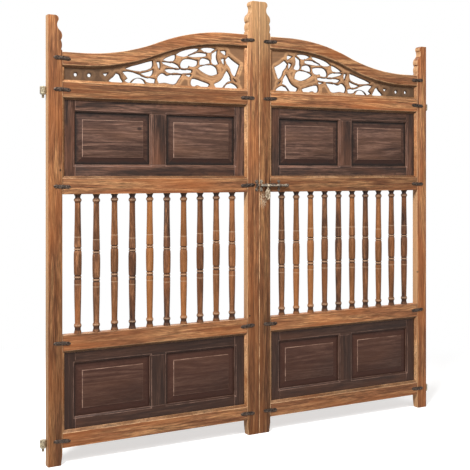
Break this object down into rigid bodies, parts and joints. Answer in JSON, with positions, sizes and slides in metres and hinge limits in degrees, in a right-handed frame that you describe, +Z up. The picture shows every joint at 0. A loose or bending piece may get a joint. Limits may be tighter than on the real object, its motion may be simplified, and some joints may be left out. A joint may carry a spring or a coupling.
{
  "type": "wooden double gate",
  "caption": "Double-leaf wooden gate with ogee top rails, pierced carved friezes, raised panels, turned spindles, iron hinge pins and a sliding hasp bolt.",
  "frame": {"origin": "centre of the whole gate at the level of the stiles' feet", "axes": "+X along the width to the right leaf as seen from the front, +Y towards the back, +Z up; the front faces -Y"},
  "size_m": [2.057, 0.061, 2.004],
  "materials": {
    "frame_wood": "worn waxed hardwood, honey brown",
    "carved_wood": "dry carved hardwood",
    "turned_wood": "turned hardwood of mixed tones",
    "dark_wood": "dark stained hardwood",
    "forged_iron": "blackened forged iron",
    "worn_steel": "worn grey iron",
    "brass": "pale worn brass"
  },
  "bodies": {
    "pins": {"hinge_pins": "forged_iron"},
    "left_leaf": {"left_outer_stile": "frame_wood", "left_inner_stile": "frame_wood", "left_bottom_rail": "frame_wood", "left_lower_rail": "frame_wood", "left_mid_rail": "frame_wood", "left_frieze_rail": "frame_wood", "left_top_rail": "frame_wood", "left_fretwork": "carved_wood", "left_opening_beads": "frame_wood", "left_upper_panel_frame": "dark_wood", "left_lower_panel_frame": "dark_wood", "left_upper_outer_panel": "dark_wood", "left_upper_inner_panel": "dark_wood", "left_lower_outer_panel": "dark_wood", "left_lower_inner_panel": "dark_wood", "left_spindle_01": "turned_wood", "left_spindle_02": "turned_wood", "left_spindle_03": "turned_wood", "left_spindle_04": "turned_wood", "left_spindle_05": "turned_wood", "left_spindle_06": "turned_wood", "left_spindle_07": "turned_wood", "left_spindle_08": "turned_wood", "left_spindle_09": "turned_wood", "left_spindle_10": "turned_wood", "left_iron_straps": "forged_iron", "left_hinge_eyes": "forged_iron", "bolt_keeper": "worn_steel"},
    "right_leaf": {"right_outer_stile": "frame_wood", "right_inner_stile": "frame_wood", "right_bottom_rail": "frame_wood", "right_lower_rail": "frame_wood", "right_mid_rail": "frame_wood", "right_frieze_rail": "frame_wood", "right_top_rail": "frame_wood", "right_fretwork": "carved_wood", "right_opening_beads": "frame_wood", "right_upper_panel_frame": "dark_wood", "right_lower_panel_frame": "dark_wood", "right_upper_outer_panel": "dark_wood", "right_upper_inner_panel": "dark_wood", "right_lower_outer_panel": "dark_wood", "right_lower_inner_panel": "dark_wood", "right_spindle_01": "turned_wood", "right_spindle_02": "turned_wood", "right_spindle_03": "turned_wood", "right_spindle_04": "turned_wood", "right_spindle_05": "turned_wood", "right_spindle_06": "turned_wood", "right_spindle_07": "turned_wood", "right_spindle_08": "turned_wood", "right_spindle_09": "turned_wood", "right_spindle_10": "turned_wood", "right_iron_straps": "forged_iron", "right_hinge_eyes": "forged_iron", "bolt_guides": "worn_steel"},
    "bolt": {"bolt_rod": "worn_steel"},
    "hasp": {"hasp_tongue": "brass"}
  },
  "joints": [
    {"name": "left_leaf_swing", "type": "hinge", "parent": "pins", "child": "left_leaf", "pos_m": [-1.0155, 0.01755, 0.8], "axis": [0, 0, 1], "range_deg": [0, 110]},
    {"name": "right_leaf_swing", "type": "hinge", "parent": "pins", "child": "right_leaf", "pos_m": [1.0155, 0.01755, 0.8], "axis": [0, 0, -1], "range_deg": [0, 110]},
    {"name": "bolt_slide", "type": "slide", "parent": "right_leaf", "child": "bolt", "axis": [-1, 0, 0], "range_m": [0, 0.022]},
    {"name": "hasp_swing", "type": "hinge", "parent": "bolt", "child": "hasp", "pos_m": [0.041, -0.02195, 1.15], "axis": [-1, 0, 0], "range_deg": [0, 150]}
  ]
}
